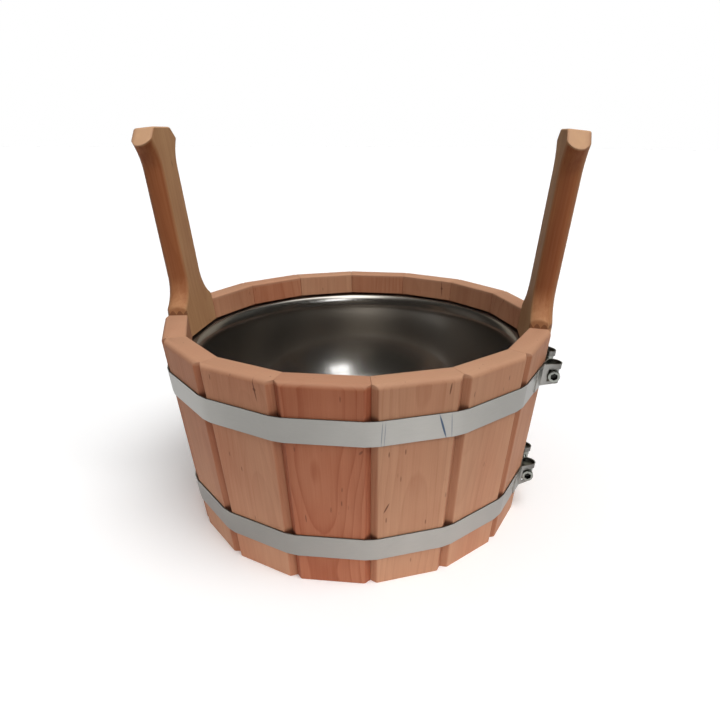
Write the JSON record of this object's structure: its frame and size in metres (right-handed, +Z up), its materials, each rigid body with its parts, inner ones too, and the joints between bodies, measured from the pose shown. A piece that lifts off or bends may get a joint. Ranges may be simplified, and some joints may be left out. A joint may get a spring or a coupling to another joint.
{
  "type": "coopered wash tub",
  "caption": "Tapered wooden tub of upright staves with two tall handle staves, a steel liner inside and flat steel hoops closed by screw clamps",
  "frame": {"origin": "on the floor, at the tub's own upright axis, midway in X and Y of its box", "axes": "+Z up, X through both handles with the clamps at +X, -Y towards the screw heads"},
  "size_m": [0.3642, 0.3326, 0.3276],
  "materials": {
    "wall_wood": "fine sawn and sanded, open grain, no varnish",
    "handle_wood": "sanded, open grain, no varnish",
    "base_wood": "planed boards",
    "liner_steel": "polished stainless sheet",
    "hoop_steel": "matte stainless strip",
    "clamp_steel": "bright turned steel"
  },
  "bodies": {
    "tub": {"stave_01": "wall_wood", "stave_02": "wall_wood", "stave_03": "wall_wood", "stave_04": "wall_wood", "stave_05": "wall_wood", "stave_06": "wall_wood", "stave_07": "wall_wood", "stave_08": "wall_wood", "stave_09": "wall_wood", "stave_10": "wall_wood", "stave_11": "wall_wood", "stave_12": "wall_wood", "stave_13": "wall_wood", "stave_14": "wall_wood", "handle_stave_right": "handle_wood", "handle_stave_left": "handle_wood", "base_board_1": "base_wood", "base_board_2": "base_wood", "base_board_3": "base_wood", "base_board_4": "base_wood", "liner": "liner_steel", "upper_hoop": "hoop_steel", "lower_hoop": "hoop_steel", "upper_plain_barrel": "clamp_steel", "upper_threaded_barrel": "clamp_steel", "lower_plain_barrel": "clamp_steel", "lower_threaded_barrel": "clamp_steel"},
    "upper_screw": {"upper_clamp_screw": "clamp_steel"},
    "lower_screw": {"lower_clamp_screw": "clamp_steel"}
  },
  "joints": [
    {"name": "upper_screw_turn", "type": "hinge", "parent": "tub", "child": "upper_screw", "pos_m": [0.1694, -0.03989, 0.13736], "axis": [0, -1, 0], "range_deg": [0, 720]},
    {"name": "lower_screw_turn", "type": "hinge", "parent": "tub", "child": "lower_screw", "pos_m": [0.159, -0.02932, 0.03486], "axis": [0, -1, 0], "range_deg": [0, 720]}
  ]
}
